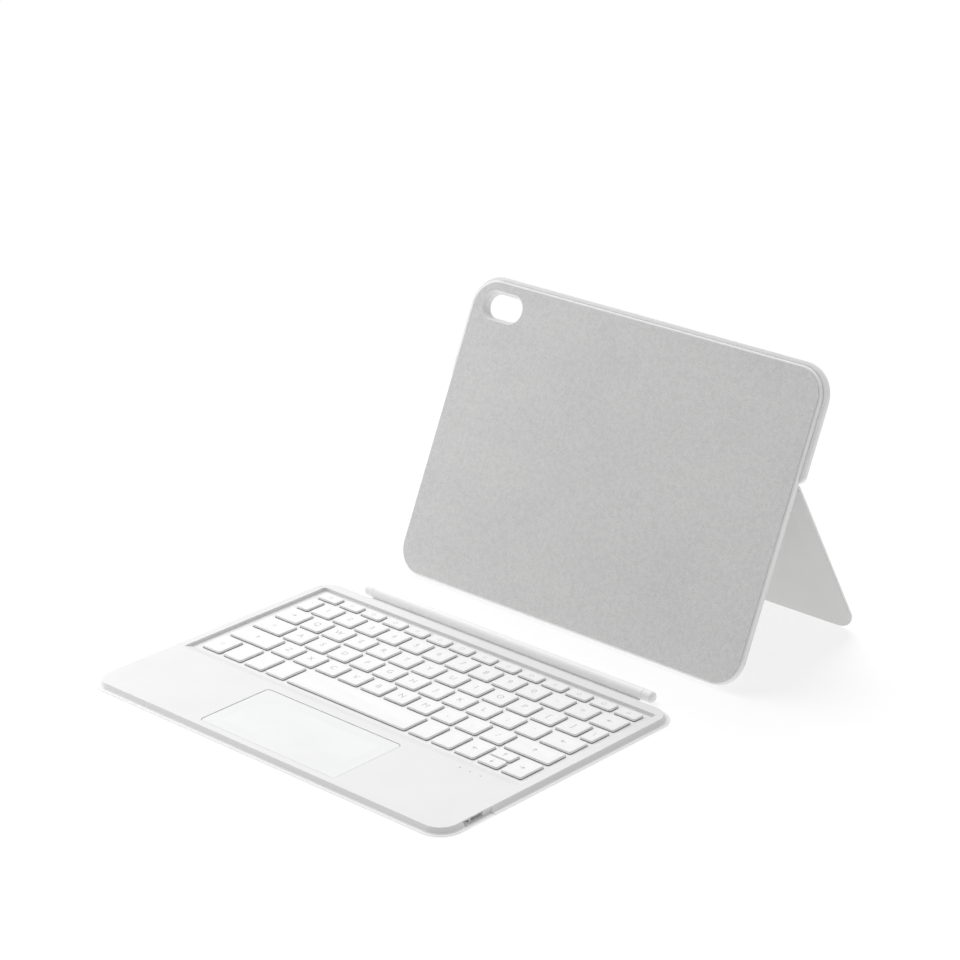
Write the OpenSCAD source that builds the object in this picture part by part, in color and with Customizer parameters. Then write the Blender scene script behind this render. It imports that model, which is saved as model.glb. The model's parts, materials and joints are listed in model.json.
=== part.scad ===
// Tablet keyboard case: a magnetic back case with a fold-out kickstand, and a separate slim
// keyboard that docks to the case's lower edge by a round magnetic hinge bar.
// Row frame: millimetres, +Z up, -Y towards the typist, origin under the centre of the assembly.

/* [Keyboard] */
// Width of the keyboard's bottom cover
base_w = 261; // [258:1:264]
// Depth of the keyboard's bottom cover
base_d = 182; // [181:0.5:182]
// Corner radius of the bottom cover
base_r = 14; // [10:0.5:18]
// Height of the palm rest above the table
deck_h = 3.6; // [3.5:0.1:4]
// Width of the thin flange that shows around the deck
flange_w = 1.6; // [1:0.1:2]
// How far the deck's sloping side leans in
deck_lean = 1.8; // [1:0.1:2.4]
// Height of the key well's floor above the table
well_floor = 1.7; // [1.6:0.05:1.8]

/* [Keys] */
// Width of the whole block of keys
keys_w = 233.6; // [230:0.1:236]
// Distance between letter keys, left to right
key_pitch = 17.12; // [16.8:0.02:17.2]
// Distance between rows of keys, front to back
row_pitch = 17; // [16.8:0.1:17.2]
// Gap between neighbouring keycaps
key_gap = 2.6; // [2:0.1:3]
// Front edge of the bottom row, from the keyboard's front edge
keys_front = 71.8; // [71:0.1:73]
// Depth of the bottom row's keycaps
bottom_row_d = 18; // [16:0.5:18]
// Depth of the half-height function keys
function_row_d = 7.8; // [7:0.1:8.5]
// Height of the keycap tops above the table
key_top = 3.2; // [3:0.05:3.4]
// How far a key travels
key_travel = 0.9; // [0.5:0.1:0.9]

/* [Touchpad] */
// Width of the touchpad
pad_w = 98; // [80:1:110]
// Depth of the touchpad
pad_d = 49; // [40:1:50]
// Front edge of the touchpad, from the keyboard's front edge
pad_front = 8; // [7:0.5:10]

/* [Hinge bar] */
// Diameter of the round hinge bar
bar_dia = 6.4; // [6:0.1:7]
// Length of the hinge bar with its end caps
bar_len = 212; // [180:1:220]
// Centre line of the bar, from the keyboard's front edge
bar_y = 186.8; // [186.6:0.1:188]
// How far the bar sits to the right of the keyboard's middle
bar_shift = 2.5; // [-4:0.5:4]

/* [Back case] */
// Width of the front panel that the tablet lies on
panel_w = 249; // [248:1:256]
// Height of the front panel
panel_h = 176.8; // [176:0.2:184]
// Corner radius of the front panel
panel_r = 17; // [12:0.5:20]
// How far the panel stands out around its soft lining
lining_inset = 1.2; // [0.6:0.1:2]
// How far the upper back cover stands out around the front panel
cover_rim = 2.6; // [2:0.1:4]
// Lean of the case back from upright, in degrees
case_tilt = 24.4; // [20:0.1:30]
// Sideways distance from the keyboard's left edge to the middle of the case
case_x = 138.8; // [132:0.2:140]
// Front lower edge of the case, from the keyboard's front edge
case_y = 222.8; // [216:0.2:240]
// Width of the camera cut-out
camera_w = 26.8; // [24:0.1:28]
// Height of the camera cut-out
camera_h = 14; // [13:0.1:15]
// Width of the funnel-shaped ring around the camera cut-out
bezel_w = 2; // [1.2:0.1:2.2]

/* [Kickstand] */
// Height of the kickstand's hinge line up the panel
hinge_v = 113.8; // [106:0.2:116]
// How far the closed kickstand reaches below the panel
kick_lip = 5; // [1:0.1:6]
// Corner radius at the kickstand's foot
kick_r = 14; // [8:0.5:20]

/* [Hidden] */
$fn = 48;
eps = 0.01;

// Layers of the case, counted back from its front face
lining_t = 0.6;
panel_t = 2.8;
plate_t = 4;
case_t = 6.2;
stand_gap = 0.2;

// Kickstand: the hinge axis lies in the middle of the stand's thickness
stand_r = (case_t - plate_t - stand_gap) / 2;
axis_n = case_t - stand_r;
stand_lining_t = 0.7;
stand_len = hinge_v + kick_lip;
plate_z = plate_t * sin(case_tilt);
axis_y = case_y + axis_n * cos(case_tilt) + hinge_v * sin(case_tilt);
axis_z = plate_z + hinge_v * cos(case_tilt) - axis_n * sin(case_tilt);
stand_reach = sqrt(stand_len * stand_len + stand_r * stand_r);
stand_lean = atan2(stand_r, stand_len) + acos(axis_z / stand_reach);
stand_open = stand_lean + case_tilt;
foot_y = axis_y + stand_len * sin(stand_lean) + stand_r * cos(stand_lean);

// Row origin, seen from the keyboard's front left corner
row_x = (case_x + panel_w / 2 + cover_rim) / 2;
row_y = foot_y / 2;

// Hinges of the kickstand
hinge_u = 82;
leaf_w = 24;
knuckle_w = 8;
pin_r = 0.45;
bore_r = 0.5;
cover_v = hinge_v + stand_r + 0.5;
bevel_h = 3;
bevel_depth = 1.3;
cover_corner = 5;
screw_u = 7;
screw_v = 8;
screw_r = 0.8;
leaf_screw_r = 0.6;
leaf_t = 0.45;

// Two rows of magnets behind the panel, each under a steel shield in a room of the cover
magnet_row_u = [102, 72];
magnet_row_v = [16, 44];
magnet_pitch = 12;
magnet_w = 10;
magnet_h = 5;
magnet_t = 1;
shield_t = 0.4;
shield_h = 9;
shield_edge = 6;
room_edge = 10;
room_v = [3, 30];
room_h = [34, 28];
room_r = 4;
magnet_back = 5.5;

// Magnets along the panel's lower edge, and those that hold the kickstand shut
dock_magnet_x = [for (i = [-4:4]) i * 22];
dock_magnet_w = 14;
dock_magnet_h = 4;
dock_magnet_t = 1.5;
dock_magnet_v = 3;
closing_u = 90;
closing_w = 20;
closing_h = 6;
closing_t = 0.8;
closing_v = 6;

// Camera cut-out, from the middle of the panel and up it
camera_u = 23 - panel_w / 2;
camera_v = panel_h - 14.5;
funnel_t = 2.4;

// Hinge bar: a sleeve that turns on the spigots of two end caps, and its flexible web
cap_len = 7;
bar_mid = base_w / 2 + bar_shift;
bar_x0 = bar_mid - bar_len / 2;
bar_bore_r = bar_dia / 2 - 0.7;
bar_fit = 0.06;
bar_magnet_r = bar_bore_r - 0.6;
web_x0 = bar_x0 + 7.5;
web_len = bar_len - 15;
web_room = 1.6;
web_tuck = 8;
web_t = 0.5;
web_z = 0.85;
web_end = bar_y - 1.5;
web_clear = 0.3;
fold_y = base_d + 1.3;

// Keyboard shell
floor_t = 0.6;
skin_t = 0.8;
flange_t = 0.7;
wall_t = 1.4;
deck_inset = flange_w + deck_lean;
well_x = 8.3;
well_front = 69;
well_back = 171.8;
ramp_w = 6;
palm_end = 56.8;
room_end = 175;
well_plate_t = 0.4;
cap_r = 1.2;
cap_bottom = 2;
cap_skin = 0.5;
window_gap = 0.3;
plate_end = base_d - web_tuck - 0.4;
plate_h = 0.25;
pad_gap = 0.35;
pad_t = 0.6;
pad_drop = 0.15;
pad_r = 2.5;
port_y = 28.2;
port_w = 8.9;
port_h = 2.7;
port_z = 1.9;
switch_y = 21.1;
notch_y0 = 18.5;
notch_y1 = 38.5;
notch_floor = 0.4;
side_x = base_w - deck_inset - 0.2;
light_x = [218, 225, 232];
light_y = 59;
light_r = 0.5;
port_l = 7.5;
port_skin = 0.25;
battery_box = [14, 10, 60, 44, 1.8];
board_box = [188, 10, 56, 44, 0.6];
board_lift = 0.2;

// Rows of keys: front edge of each, counted from the front row to the function row
keys_x = (base_w - keys_w) / 2;
row_y0 = [keys_front, for (i = [0:4]) keys_front + bottom_row_d + key_gap + i * row_pitch];
row_d = row_pitch - key_gap;
cap_w = key_pitch - key_gap;
function_pitch = (keys_w + key_gap) / 14;
left_pitch = 16.5;
right_pitch = 16.1;
right_start = keys_w + key_gap - 5 * right_pitch;
letter_x = [32.2, 24, 19.8, 11.3];
letter_n = [10, 11, 12, 12];
half_d = (bottom_row_d - 1.2) / 2;

// ---- Helpers ----

module in_row() {
    translate([-row_x, -row_y, 0]) children();
}

// The case's own frame: X across, Y back through its thickness, Z up its face
module in_case() {
    in_row() translate([case_x, case_y, plate_z]) rotate([-case_tilt, 0, 0]) children();
}

// The kickstand, drawn closed in the case's frame and swung out about the hinge axis
module in_stand() {
    in_case() translate([0, axis_n, hinge_v]) rotate([stand_open, 0, 0])
        translate([0, -axis_n, -hinge_v]) children();
}

// A rectangle from (x, y) of size w by d with corners of radius r
module round_rect(x, y, w, d, r) {
    translate([x + r, y]) square([w - 2 * r, d]);
    translate([x, y + r]) square([w, d - 2 * r]);
    for (cx = [x + r, x + w - r], cy = [y + r, y + d - r])
        translate([cx, cy]) circle(r);
}

module slab(x, y, z, w, d, h, r) {
    translate([0, 0, z]) linear_extrude(h) round_rect(x, y, w, d, r);
}

// An outline drawn in X and Z, filled from y0 back to y1
module upright(y0, y1) {
    translate([0, y1, 0]) rotate([90, 0, 0]) linear_extrude(y1 - y0) children();
}

// A rod of radius r along X from x0 to x1
module rod_x(x0, x1, y, z, r) {
    translate([x0, y, z]) rotate([0, 90, 0]) cylinder(h = x1 - x0, r = r);
}

// A rounded slab whose four sides lean in by lean over its height
module leaning_slab(x, y, z, w, d, h, r, lean) {
    span_x = w - 2 * r;
    span_y = d - 2 * r;
    translate([x + r, y + d / 2, z]) rotate([90, 0, 90]) linear_extrude(span_x)
        polygon([[-d / 2, 0], [d / 2, 0], [d / 2 - lean, h], [lean - d / 2, h]]);
    translate([x + w / 2, y + d - r, z]) rotate([90, 0, 0]) linear_extrude(span_y)
        polygon([[-w / 2, 0], [w / 2, 0], [w / 2 - lean, h], [lean - w / 2, h]]);
    for (cx = [x + r, x + w - r], cy = [y + r, y + d - r])
        translate([cx, cy, z]) cylinder(h = h, r1 = r, r2 = r - lean);
}

module panel_outline(grow = 0) {
    round_rect(-panel_w / 2 - grow, -grow, panel_w + 2 * grow, panel_h + 2 * grow,
        panel_r + grow);
}

module camera_outline(grow = 0) {
    w = camera_w + 2 * grow;
    h = camera_h + 2 * grow;
    translate([camera_u, camera_v]) round_rect(-w / 2, -h / 2, w, h, h / 2 - eps);
}

// ---- Back case ----

module front_panel() {
    color("gainsboro") in_case() difference() {
        upright(lining_t, panel_t) difference() {
            panel_outline();
            camera_outline(bezel_w);
        }
        for (u = dock_magnet_x) 
            translate([u - dock_magnet_w / 2 - 0.1, panel_t - dock_magnet_t - 0.1,
                dock_magnet_v - 0.1])
                    cube([dock_magnet_w + 0.2, dock_magnet_t + 0.5, dock_magnet_h + 0.2]);
    }
}

module inner_lining() {
    color("silver") in_case() upright(0, lining_t) difference() {
        panel_outline(-lining_inset);
        camera_outline(bezel_w);
    }
}

module back_skin() {
    color("white") in_case() upright(panel_t, plate_t) difference() {
        panel_outline();
        camera_outline(bezel_w);
    }
}

// The upper half of the outer shell, hollow for the magnets, bevelled above the hinge line
module back_cover() {
    low = cover_v;
    wide = panel_w + 2 * cover_rim;
    color("whitesmoke") in_case() difference() {
        upright(panel_t, case_t) difference() {
            intersection() {
                panel_outline(cover_rim);
                round_rect(-wide / 2, low, wide, panel_h, cover_corner);
            }
            camera_outline(bezel_w);
        }
        upright(panel_t - eps, plate_t) panel_outline();
        for (k = [0, 1]) upright(plate_t - eps, magnet_back)
            round_rect(-magnet_row_u[k] - room_edge, low + room_v[k],
                2 * (magnet_row_u[k] + room_edge), room_h[k], room_r);
        for (s = [-1, 1]) translate([s * hinge_u - knuckle_w / 2 - 0.3, plate_t - eps, low - eps])
            cube([knuckle_w + 0.6, 1.1, 4]);
        translate([-wide / 2 - 1, case_t, low + bevel_h])
            rotate([-90 - atan(bevel_depth / bevel_h), 0, 0])
                translate([0, -1, 0]) cube([wide + 2, 2 * bevel_h, bevel_h]);
    }
}

module camera_bezel() {
    w = camera_w + 2 * bezel_w;
    h = camera_h + 2 * bezel_w;
    color("white") in_case() difference() {
        upright(0, case_t) difference() {
            camera_outline(bezel_w);
            camera_outline();
        }
        translate([camera_u, -eps, camera_v]) rotate([-90, 0, 0])
            leaning_slab(0.4 - w / 2, 0.4 - h / 2, 0, w - 0.8, h - 0.8, funnel_t, h / 2 - 0.41,
                bezel_w - 0.4);
    }
}

module tablet_magnets() {
    color("slategray") in_case()
        for (k = [0, 1], u = [-magnet_row_u[k]:magnet_pitch:magnet_row_u[k]])
            translate([u - magnet_w / 2, plate_t, cover_v + magnet_row_v[k]])
                cube([magnet_w, magnet_t, magnet_h]);
}

module magnet_shield() {
    color("lightsteelblue") in_case() for (k = [0, 1])
        translate([-magnet_row_u[k] - shield_edge, plate_t + magnet_t,
            cover_v + magnet_row_v[k] - (shield_h - magnet_h) / 2])
                cube([2 * (magnet_row_u[k] + shield_edge), shield_t, shield_h]);
}

module dock_magnets() {
    color("slategray") in_case()
        for (u = dock_magnet_x) 
            translate([u - dock_magnet_w / 2, panel_t - dock_magnet_t, dock_magnet_v])
                cube([dock_magnet_w, dock_magnet_t, dock_magnet_h]);
}

module hinge_brackets() {
    color("lightslategray") in_case() for (s = [-1, 1]) difference() {
        union() {
            translate([s * hinge_u - leaf_w / 2, plate_t, cover_v + 3.4]) cube([leaf_w, 0.8, 9]);
            translate([s * hinge_u - knuckle_w / 2, plate_t + 0.25, hinge_v])
                cube([knuckle_w, 0.55, cover_v - hinge_v + 4]);
            rod_x(s * hinge_u - knuckle_w / 2, s * hinge_u + knuckle_w / 2, axis_n, hinge_v,
                stand_r);
        }
        rod_x(s * hinge_u - knuckle_w, s * hinge_u + knuckle_w, axis_n, hinge_v, pin_r);
        for (u = [-screw_u, screw_u]) translate([s * hinge_u + u, plate_t - 1, cover_v + screw_v])
            rotate([-90, 0, 0]) cylinder(h = 3, r = screw_r);
    }
}

module hinge_pins() {
    color("dimgray") in_case() for (s = [-1, 1])
        rod_x(s * hinge_u - leaf_w / 2 + 1, s * hinge_u + leaf_w / 2 - 1, axis_n, hinge_v, pin_r);
}

module bracket_screws() {
    color("dimgray") in_case() for (s = [-1, 1], u = [-screw_u, screw_u])
        translate([s * hinge_u + u, plate_t, cover_v + screw_v]) rotate([-90, 0, 0]) {
            cylinder(h = 0.8, r = screw_r);
            translate([0, 0, 0.8]) cylinder(h = 0.4, r = 2 * screw_r);
        }
}

// ---- Kickstand ----

module stand_outline() {
    difference() {
        round_rect(-panel_w / 2, -kick_lip, panel_w, stand_len + kick_r, kick_r);
        translate([-panel_w / 2 - 1, hinge_v]) square([panel_w + 2, kick_r + 1]);
    }
}

// Room for the knuckles in the stand's top edge
module knuckle_notches() {
    for (s = [-1, 1]) translate([s * hinge_u - leaf_w / 2 - 0.2, plate_t, hinge_v - stand_r - 0.4])
        cube([leaf_w + 0.4, case_t, 4]);
}

module kickstand_panel() {
    color("whitesmoke") in_stand() difference() {
        union() {
            upright(plate_t + stand_gap + stand_lining_t, case_t) stand_outline();
            rod_x(-panel_w / 2, panel_w / 2, axis_n, hinge_v, stand_r);
        }
        upright(plate_t, plate_t + stand_gap + stand_lining_t) translate([-panel_w / 2 - 1, 0])
            square([panel_w + 2, hinge_v]);
        knuckle_notches();
        for (s = [-1, 1]) translate([s * hinge_u - leaf_w / 2 - 0.1, plate_t, hinge_v - 12])
            cube([leaf_w + 0.2, 1.4, 11]);
        for (s = [-1, 1], u = [-screw_u, screw_u])
            translate([s * hinge_u + u, plate_t, hinge_v - screw_v])
                rotate([-90, 0, 0]) cylinder(h = 1.9, r = leaf_screw_r);
        for (u = [-closing_u, closing_u])
            translate([u - closing_w / 2 - 0.1, plate_t, closing_v - 0.1])
                cube([closing_w + 0.2, 1.75, closing_h + 0.2]);
    }
}

module kickstand_lining() {
    y0 = plate_t + stand_gap;
    color("gainsboro") in_stand() upright(y0, y0 + stand_lining_t) difference() {
        stand_outline();
        translate([-panel_w / 2 - 1, hinge_v - 1.6]) square([panel_w + 2, 5]);
    }
}

module hinge_leaves() {
    y0 = plate_t + stand_gap + stand_lining_t;
    color("lightslategray") in_stand() for (s = [-1, 1]) difference() {
        union() {
            translate([s * hinge_u - leaf_w / 2, y0, hinge_v - 11.9]) cube([leaf_w, leaf_t, 10.6]);
            for (side = [-1, 1]) {
                x0 = s * hinge_u + (side < 0 ? -leaf_w / 2 : knuckle_w / 2 + 0.3);
                w = (leaf_w - knuckle_w) / 2 - 0.3;
                rod_x(x0, x0 + w, axis_n, hinge_v, stand_r);
                translate([x0, y0, hinge_v - 2]) cube([w, leaf_t, 2]);
            }
        }
        rod_x(s * hinge_u - leaf_w, s * hinge_u + leaf_w, axis_n, hinge_v, bore_r);
        for (u = [-screw_u, screw_u]) translate([s * hinge_u + u, plate_t, hinge_v - screw_v])
            rotate([-90, 0, 0]) cylinder(h = 3, r = leaf_screw_r);
    }
}

module leaf_screws() {
    color("dimgray") in_stand() for (s = [-1, 1], u = [-screw_u, screw_u])
        translate([s * hinge_u + u, plate_t + stand_gap + stand_lining_t, hinge_v - screw_v])
            rotate([-90, 0, 0]) cylinder(h = 1, r = leaf_screw_r);
}

module closing_magnets() {
    color("slategray") in_stand() for (u = [-closing_u, closing_u])
        translate([u - closing_w / 2, plate_t + stand_gap + stand_lining_t, closing_v])
            cube([closing_w, closing_t, closing_h]);
}

// ---- Hinge bar ----

module hinge_bar() {
    color("white") in_row() difference() {
        rod_x(bar_x0 + cap_len, bar_x0 + bar_len - cap_len, bar_y, bar_dia / 2, bar_dia / 2);
        rod_x(bar_x0, bar_x0 + bar_len, bar_y, bar_dia / 2, bar_bore_r);
        translate([web_x0, fold_y, web_z - web_t / 2]) cube([web_len, web_end - fold_y, web_t]);
    }
}

// Each end cap carries a long hollow spigot that the sleeve turns on and the magnets sit in
module bar_end_caps() {
    run = bar_len / 2 - 0.2;
    color("white") in_row() for (side = [0, 1])
        translate([bar_x0 + side * bar_len, bar_y, bar_dia / 2]) mirror([side, 0, 0])
            rotate([0, 90, 0]) difference() {
                union() {
                    cylinder(h = bar_dia / 4, r1 = bar_dia / 4, r2 = bar_dia / 2);
                    translate([0, 0, bar_dia / 4])
                        cylinder(h = cap_len - 0.1 - bar_dia / 4, r = bar_dia / 2);
                    cylinder(h = run, r = bar_bore_r - bar_fit);
                }
                translate([0, 0, cap_len]) cylinder(h = run, r = bar_magnet_r);
            }
}

module bar_magnets() {
    color("slategray") in_row() for (side = [-1, 1], i = [0:3]) {
        x = bar_mid + side * (14 + i * 22);
        rod_x(x - 8, x + 8, bar_y, bar_dia / 2, bar_magnet_r);
    }
}

// The strip of the flexible web that stays with the bar, with a round bead on the fold line
module hinge_web() {
    color("whitesmoke") in_row() {
        rod_x(web_x0, web_x0 + web_len, fold_y, web_z, web_t / 2);
        translate([web_x0, fold_y, web_z - web_t / 2]) cube([web_len, web_end - fold_y, web_t]);
    }
}

// ---- Keyboard shell ----

// Cut-out in the right side in front of the port and the switch, from height z up
module side_notch(z) {
    translate([side_x, notch_y0, z]) cube([base_w, notch_y1 - notch_y0, deck_h + 2]);
}

module port_pocket(gap) {
    translate([side_x - port_l - gap, port_y - port_w / 2 - gap, port_z - port_h / 2 - gap])
        cube([port_l + 0.5 + gap, port_w + 2 * gap, port_h + 2 * gap]);
}

module base_cover() {
    color("white") in_row() difference() {
        slab(0, 0, 0, base_w, base_d, flange_t, base_r);
        slab(8, 8, floor_t, base_w - 16, base_d - 16, 1, 6);
        side_notch(notch_floor);
        port_pocket(0.05);
        translate([web_x0 - web_room, base_d - web_tuck - 0.2, web_z - web_t / 2 - 0.05])
            cube([web_len + 2 * web_room, 10, web_t + 1]);
    }
}

// A block the size of one keycap, x from the left edge of the keys and y from the front
module key_block(x, y, w, d, z, h, grow) {
    slab(keys_x + x - grow, y - grow, z, w + 2 * grow, d + 2 * grow, h, cap_r + grow);
}

function key_rows() = [
    concat(
        [for (i = [0:3]) [i * left_pitch, left_pitch - key_gap, 0, bottom_row_d]],
        [[4 * left_pitch, right_start - key_gap - 4 * left_pitch, 0, bottom_row_d]],
        [for (i = [0:2]) [right_start + i * right_pitch, right_pitch - key_gap, 0, bottom_row_d]],
        [for (i = [0, 1]) [right_start + 3 * right_pitch, right_pitch - key_gap,
            i * (half_d + 1.2), half_d]],
        [[right_start + 4 * right_pitch, right_pitch - key_gap, 0, bottom_row_d]]
    ),
    for (r = [0:3]) letter_row(r),
    [for (i = [0:13]) [i * function_pitch, function_pitch - key_gap, 0, function_row_d]]
];

// Each key is [distance from the block's left edge, width, distance from the row's front, depth]
function letter_row(r) = let (end_x = letter_x[r] + letter_n[r] * key_pitch) concat(
    [[0, letter_x[r] - key_gap, 0, row_d]],
    [for (i = [0:letter_n[r] - 1]) [letter_x[r] + i * key_pitch, cap_w, 0, row_d]],
    [[end_x, keys_w - end_x, 0, row_d]]
);

module keys_of(row, first, last) {
    keys = key_rows()[row];
    for (i = [first:last]) {
        k = keys[i];
        y = row_y0[row] + k[2];
        color("white") in_row() difference() {
            key_block(k[0], y, k[1], k[3], cap_bottom, key_top - cap_bottom, 0);
            translate([keys_x + k[0] + 1, y + 1, cap_bottom - 1])
                cube([k[1] - 2, k[3] - 2, key_top - cap_skin - cap_bottom + 1]);
        }
    }
}

module well_cut() {
    z1 = deck_h + 1;
    translate([well_x, 0, 0]) rotate([90, 0, 90]) linear_extrude(base_w - 2 * well_x)
        polygon([[well_front, well_floor], [well_back, well_floor], [well_back, z1],
            [well_front - ramp_w - ramp_w / (deck_h - well_floor), z1]]);
}

module key_windows() {
    rows = key_rows();
    for (r = [0:5], k = rows[r])
        translate([keys_x + k[0] - window_gap, row_y0[r] + k[2] - window_gap, 0])
            cube([k[1] + 2 * window_gap, k[3] + 2 * window_gap, well_floor + 1]);
}

module deck_cover() {
    w = base_w - 2 * flange_w;
    d = base_d - 2 * flange_w;
    palm_in = deck_inset + wall_t;
    color("whitesmoke") in_row() difference() {
        leaning_slab(flange_w, flange_w, flange_t, w, d, deck_h - flange_t, base_r - flange_w,
            deck_lean);
        slab(palm_in, palm_in, 0, base_w - 2 * palm_in, palm_end - palm_in, deck_h - skin_t,
            base_r - palm_in);
        translate([well_x - 1.2, palm_end + 0.2, 0])
            cube([base_w - 2 * well_x + 2.4, room_end - palm_end - 0.2, well_floor - well_plate_t]);
        well_cut();
        key_windows();
        slab((base_w - pad_w) / 2 - pad_gap, pad_front - pad_gap, 0, pad_w + 2 * pad_gap,
            pad_d + 2 * pad_gap, 9, pad_r + pad_gap);
        side_notch(-1);
        port_pocket(0.05);
        translate([side_x - 2, switch_y - 2.25, 1.1]) cube([3, 4.1, 1.6]);
        for (x = light_x) translate([x, light_y, 0]) cylinder(h = 9, r = light_r);
        translate([web_x0 - web_room, base_d - web_tuck - 0.2, -1])
            cube([web_len + 2 * web_room, 10, 2.15]);
    }
}

// The strip of the flexible web that is bonded between the covers
module web_tongue() {
    z0 = web_z - web_t / 2;
    color("whitesmoke") in_row() translate([web_x0, base_d - web_tuck, z0])
        cube([web_len, fold_y - web_clear - base_d + web_tuck, web_t]);
}

module key_support_plate() {
    color("silver") in_row() slab(10, well_front, floor_t, base_w - 20, plate_end - well_front,
        plate_h, 5);
}

module key_membrane() {
    color("gray") in_row() slab(11, well_front + 1, floor_t + plate_h, base_w - 22,
        plate_end - well_front - 2, 0.1, 4);
}

// One low collapsed dome under each key
module key_domes() {
    rows = key_rows();
    color("darkgray") in_row() for (r = [0:5], k = rows[r])
        translate([keys_x + k[0] + k[1] / 2, row_y0[r] + k[2] + k[3] / 2, floor_t + 0.35])
            cylinder(h = 0.6, r1 = 1.6, r2 = 1);
}

module battery() {
    b = battery_box;
    color("dimgray") in_row() slab(b[0], b[1], floor_t, b[2], b[3], b[4], 1.5);
}

module main_board() {
    b = board_box;
    color("seagreen") in_row() translate([b[0], b[1], floor_t]) {
        translate([0, 0, board_lift]) cube([b[2], b[3], b[4]]);
        for (x = [4, 24, 38]) translate([x, 20, board_lift + b[4]]) cube([9, 9, 0.9]);
        translate([3, 2, 0]) cube([4, 4, board_lift]);
        translate([48, 38, 0]) cube([4, 4, board_lift]);
    }
}

module usb_c_port() {
    r = port_h / 2 - 0.05;
    color("lightgray") in_row() translate([side_x - port_l, port_y, port_z]) rotate([90, 0, 90]) {
        difference() {
            linear_extrude(port_l) round_rect(-port_w / 2, -port_h / 2, port_w, port_h, r);
            translate([0, 0, 1]) linear_extrude(9)
                round_rect(port_skin - port_w / 2, port_skin - port_h / 2, port_w - 2 * port_skin,
                    port_h - 2 * port_skin, r - port_skin);
        }
        translate([-3.3, -0.35, 1]) cube([6.6, 0.7, 5.2]);
    }
}

module power_switch_housing() {
    color("dimgray") in_row() difference() {
        translate([side_x - 7, switch_y - 3.2, flange_t]) cube([5.4, 5.7, 2]);
        translate([side_x - 5.4, switch_y - 2.5, 1.2]) cube([5, 4.6, 1.4]);
    }
}

module power_slider() {
    color("gray") in_row() translate([side_x - 5.2, switch_y - 2.4, 1.3]) {
        cube([3.4, 2.4, 1.2]);
        translate([3.4, 0.3, 0]) cube([2.5, 1.8, 1.2]);
    }
}

module status_lights() {
    color("aliceblue") in_row() for (x = light_x)
        translate([x, light_y, floor_t + 1.2]) cylinder(h = deck_h - floor_t - 1.2, r = light_r);
}

module touchpad() {
    color("white") in_row()
        slab((base_w - pad_w) / 2, pad_front, deck_h - pad_drop - pad_t, pad_w, pad_d, pad_t,
            pad_r);
}

module touchpad_board() {
    color("seagreen") in_row()
        translate([base_w / 2 - 42, pad_front + 5, floor_t]) cube([84, 38, 0.8]);
}

module touchpad_switch() {
    color("lightgray") in_row() translate([base_w / 2, pad_front + 9, floor_t + 0.8])
        cylinder(h = 1, r1 = 3, r2 = 2);
}

// ---- Assembly ----

front_panel();
inner_lining();
back_skin();
back_cover();
camera_bezel();
tablet_magnets();
magnet_shield();
dock_magnets();
hinge_brackets();
hinge_pins();
bracket_screws();
kickstand_panel();
kickstand_lining();
hinge_leaves();
leaf_screws();
closing_magnets();
hinge_bar();
bar_end_caps();
bar_magnets();
hinge_web();
base_cover();
deck_cover();
web_tongue();
key_support_plate();
key_membrane();
key_domes();
battery();
main_board();
usb_c_port();
power_switch_housing();
status_lights();
touchpad_board();
touchpad_switch();
touchpad();
power_slider();
keys_of(5, 0, 0);  // escape_key
keys_of(5, 1, 12);  // function_keys
keys_of(5, 13, 13);  // lock_key
keys_of(4, 0, 12);  // number_keys
keys_of(4, 13, 13);  // backspace_key
keys_of(3, 0, 0);  // tab_key
keys_of(3, 1, 12);  // upper_letter_keys
keys_of(3, 13, 13);  // backslash_key
keys_of(2, 0, 0);  // caps_lock_key
keys_of(2, 1, 11);  // home_letter_keys
keys_of(2, 12, 12);  // enter_key
keys_of(1, 0, 0);  // left_shift_key
keys_of(1, 1, 10);  // lower_letter_keys
keys_of(1, 11, 11);  // right_shift_key
keys_of(0, 0, 0);  // fn_key
keys_of(0, 1, 1);  // control_key
keys_of(0, 2, 2);  // left_alt_key
keys_of(0, 3, 3);  // left_meta_key
keys_of(0, 4, 4);  // space_bar
keys_of(0, 5, 5);  // right_meta_key
keys_of(0, 6, 6);  // right_alt_key
keys_of(0, 7, 7);  // left_arrow_key
keys_of(0, 8, 8);  // down_arrow_key
keys_of(0, 9, 9);  // up_arrow_key
keys_of(0, 10, 10);  // right_arrow_key
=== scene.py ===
"""Looks of the tablet keyboard case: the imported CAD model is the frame, and each visible piece is
rebuilt on it with rounded edges, fine detail and a procedural material."""

import json
import math

import bmesh
import bpy
from mathutils import Matrix, Vector


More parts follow.
